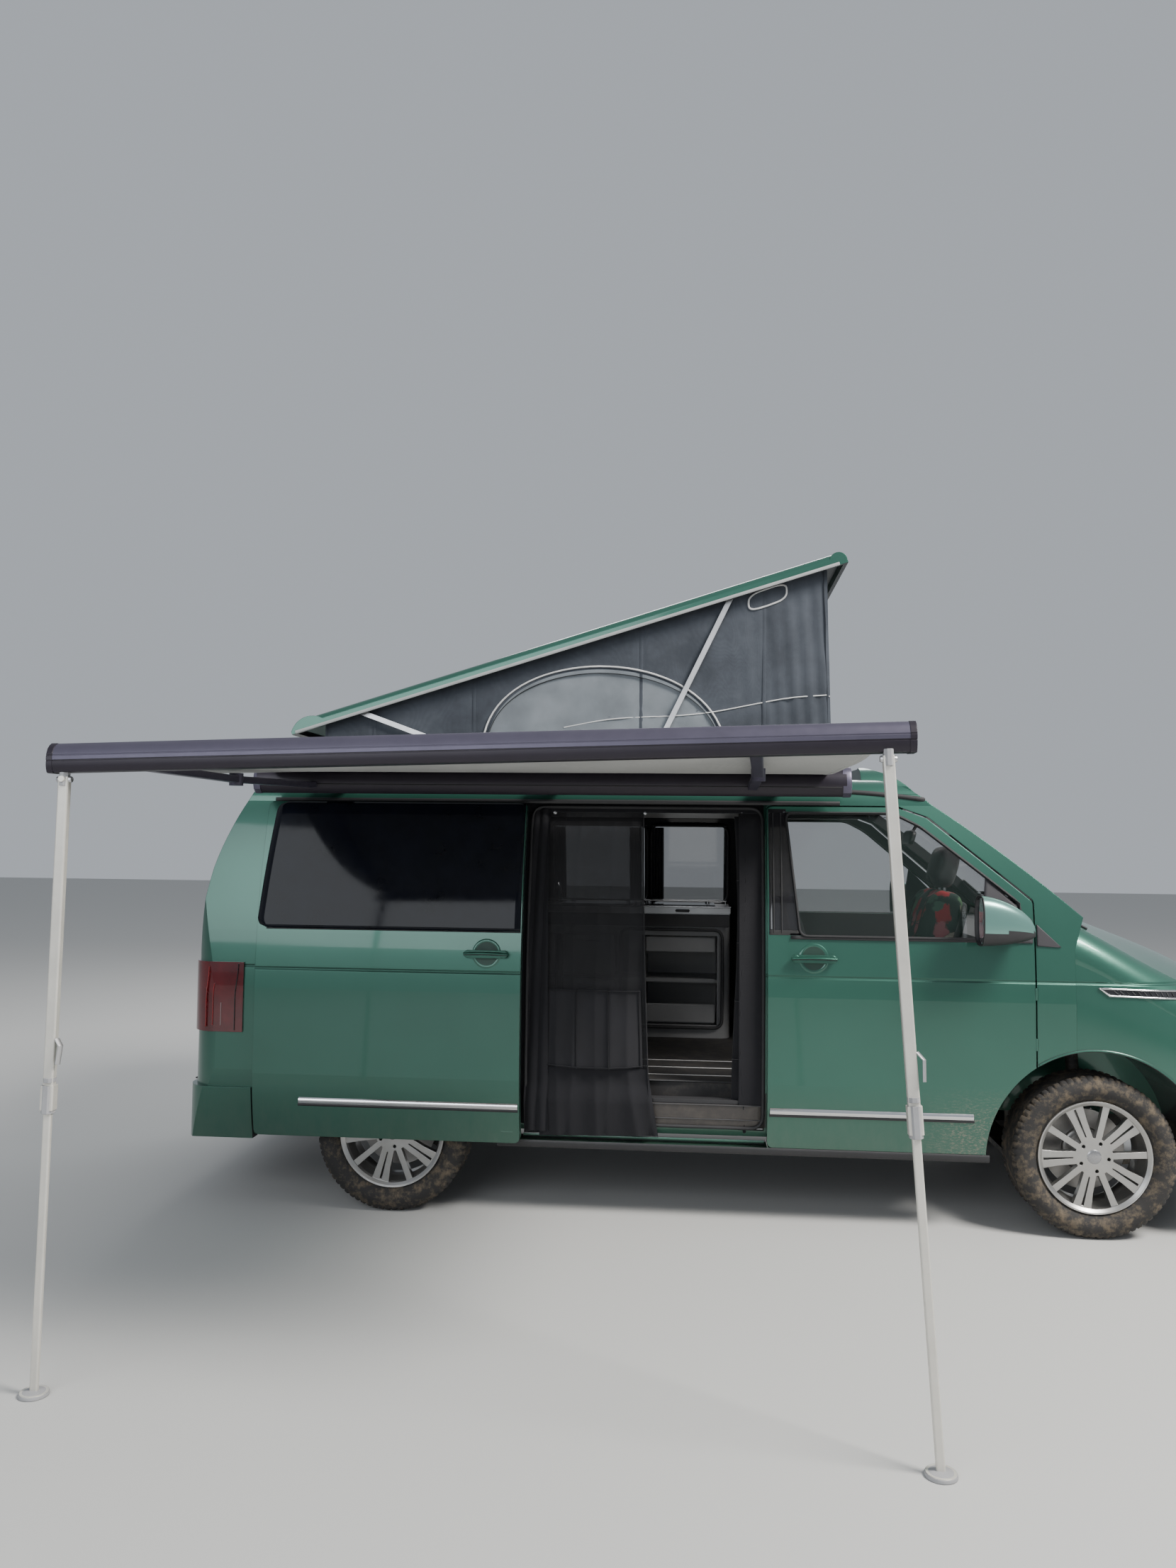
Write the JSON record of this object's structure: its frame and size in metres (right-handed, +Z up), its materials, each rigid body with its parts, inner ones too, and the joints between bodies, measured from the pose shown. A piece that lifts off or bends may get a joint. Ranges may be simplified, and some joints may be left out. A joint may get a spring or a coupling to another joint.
{
  "type": "camper van with lifting roof and awning",
  "caption": "Camper van with a raised lifting roof and tent, open sliding side door, wind-out awning on two legs, hinged doors, tailgate, bonnet and rolling steered wheels.",
  "frame": {"origin": "on the ground under the middle of the whole outline, mirrors and awning legs included", "axes": "+X towards the front of the van, +Y towards its left side, +Z up"},
  "size_m": [4.904, 4.0383, 2.9743],
  "materials": {
    "body_paint": "metallic mid green paint",
    "clear_glass": "clear green-tinted glass",
    "dark_glass": "dark privacy glass",
    "lamp_glass": "clear lamp lens",
    "lamp_red": "red lamp lens",
    "black_plastic": "grained black plastic",
    "floor_covering": "dark floor covering",
    "tyre_rubber": "black tyre rubber",
    "alloy": "silver painted alloy",
    "cast_metal": "black coated iron",
    "exhaust_steel": "dull steel",
    "seat_fabric": "dark grey woven fabric",
    "cabinet_board": "light grey board",
    "steel_bar": "bright flat bar",
    "tent_cloth": "slate grey canvas",
    "awning_shell": "dark anodised aluminium",
    "awning_cloth": "grey coated fabric",
    "awning_metal": "light painted aluminium",
    "screen_mesh": "black mesh"
  },
  "bodies": {
    "van_body": {"body_side_right": "body_paint", "body_side_left": "body_paint", "roof_frame": "body_paint", "roof_cap": "body_paint", "wing_right": "body_paint", "wing_left": "body_paint", "sliding_door": "body_paint", "front_bumper": "body_paint", "rear_bumper": "body_paint", "windscreen": "clear_glass", "sliding_door_glass": "dark_glass", "side_glass": "dark_glass", "headlamps": "lamp_glass", "tail_lamps": "lamp_red", "cowl": "black_plastic", "grille": "black_plastic", "wipers": "black_plastic", "dashboard": "black_plastic", "steering_wheel": "black_plastic", "fuel_tank": "black_plastic", "floor_pan": "floor_covering", "rear_axle": "cast_metal", "front_subframe": "cast_metal", "engine_block": "cast_metal", "exhaust": "exhaust_steel", "cab_seats": "seat_fabric", "rear_bench": "seat_fabric", "kitchen_unit": "cabinet_board", "roof_bed": "cabinet_board", "roof_tent": "tent_cloth", "awning_case": "awning_shell", "awning_rail": "awning_shell", "awning_canopy": "awning_cloth", "awning_arms": "awning_metal", "awning_legs": "awning_metal", "fly_screen": "screen_mesh"},
    "door_right_body": {"door_right": "body_paint", "door_glass_right": "clear_glass", "mirror_right": "body_paint"},
    "door_left_body": {"door_left": "body_paint", "door_glass_left": "clear_glass", "mirror_left": "body_paint"},
    "tailgate_body": {"tailgate": "body_paint", "tailgate_glass": "dark_glass"},
    "bonnet_body": {"bonnet": "body_paint"},
    "roof_link_body": {"roof_links": "steel_bar"},
    "roof_lid_body": {"roof_lid": "body_paint"},
    "roof_strut_body": {"roof_struts": "steel_bar"},
    "knuckle_right_body": {"knuckle_right": "cast_metal"},
    "knuckle_left_body": {"knuckle_left": "cast_metal"},
    "wheel_front_right": {"rim_front_right": "alloy", "tyre_front_right": "tyre_rubber"},
    "wheel_front_left": {"rim_front_left": "alloy", "tyre_front_left": "tyre_rubber"},
    "wheel_rear_right": {"rim_rear_right": "alloy", "tyre_rear_right": "tyre_rubber"},
    "wheel_rear_left": {"rim_rear_left": "alloy", "tyre_rear_left": "tyre_rubber"}
  },
  "joints": [
    {"name": "steer_right", "type": "hinge", "parent": "van_body", "child": "knuckle_right_body", "pos_m": [1.544, 0.19303, 0.338], "axis": [0, 0.1783, 0.984], "range_deg": [-35, 35]},
    {"name": "spin_front_right", "type": "hinge", "parent": "knuckle_right_body", "child": "wheel_front_right", "pos_m": [1.544, 0.05675, 0.338], "axis": [0, 1, 0], "continuous": true},
    {"name": "spin_rear_right", "type": "hinge", "parent": "van_body", "child": "wheel_rear_right", "pos_m": [-1.456, 0.05675, 0.338], "axis": [0, 1, 0], "continuous": true},
    {"name": "door_right_hinge", "type": "hinge", "parent": "van_body", "child": "door_right_body", "pos_m": [1.3, -0.07625, 0.9], "axis": [0, 0, 1], "range_deg": [0, 58]},
    {"name": "steer_left", "type": "hinge", "parent": "van_body", "child": "knuckle_left_body", "pos_m": [1.544, 1.54847, 0.338], "axis": [0, -0.1783, 0.984], "range_deg": [-35.01, 35.01]},
    {"name": "spin_front_left", "type": "hinge", "parent": "knuckle_left_body", "child": "wheel_front_left", "pos_m": [1.544, 1.68475, 0.338], "axis": [0, 1, 0], "continuous": true},
    {"name": "spin_rear_left", "type": "hinge", "parent": "van_body", "child": "wheel_rear_left", "pos_m": [-1.456, 1.68475, 0.338], "axis": [0, 1, 0], "continuous": true},
    {"name": "door_left_hinge", "type": "hinge", "parent": "van_body", "child": "door_left_body", "pos_m": [1.3, 1.81775, 0.9], "axis": [0, 0, -1], "range_deg": [0, 58]},
    {"name": "tailgate_hinge", "type": "hinge", "parent": "van_body", "child": "tailgate_body", "pos_m": [-2.147, 0.87075, 1.871], "axis": [0, 1, 0], "range_deg": [0, 85]},
    {"name": "bonnet_hinge", "type": "hinge", "parent": "van_body", "child": "bonnet_body", "pos_m": [1.509, 0.87075, 1.349], "axis": [0, -1, 0], "range_deg": [0, 40]},
    {"name": "roof_link", "type": "hinge", "parent": "van_body", "child": "roof_link_body", "pos_m": [-0.92708, 0.87075, 1.951], "axis": [0, -1, 0], "range_deg": [0, 20.01], "deforming": ["roof_tent"]},
    {"name": "roof_lid", "type": "hinge", "parent": "roof_link_body", "child": "roof_lid_body", "pos_m": [-1.72947, 0.87075, 2.24315], "axis": [0, -1, 0], "range_deg": [-37.12, 0]},
    {"name": "roof_strut", "type": "hinge", "parent": "roof_lid_body", "child": "roof_strut_body", "pos_m": [0.03301, 0.87075, 2.78536], "axis": [0, -1, 0], "range_deg": [-47.11, 0]}
  ],
  "couplings": [
    {"joint": "roof_lid", "follows": "roof_link", "ratio": -1.8547},
    {"joint": "roof_strut", "follows": "roof_link", "ratio": -2.3542},
    {"joint": "steer_left", "follows": "steer_right", "ratio": 1}
  ]
}
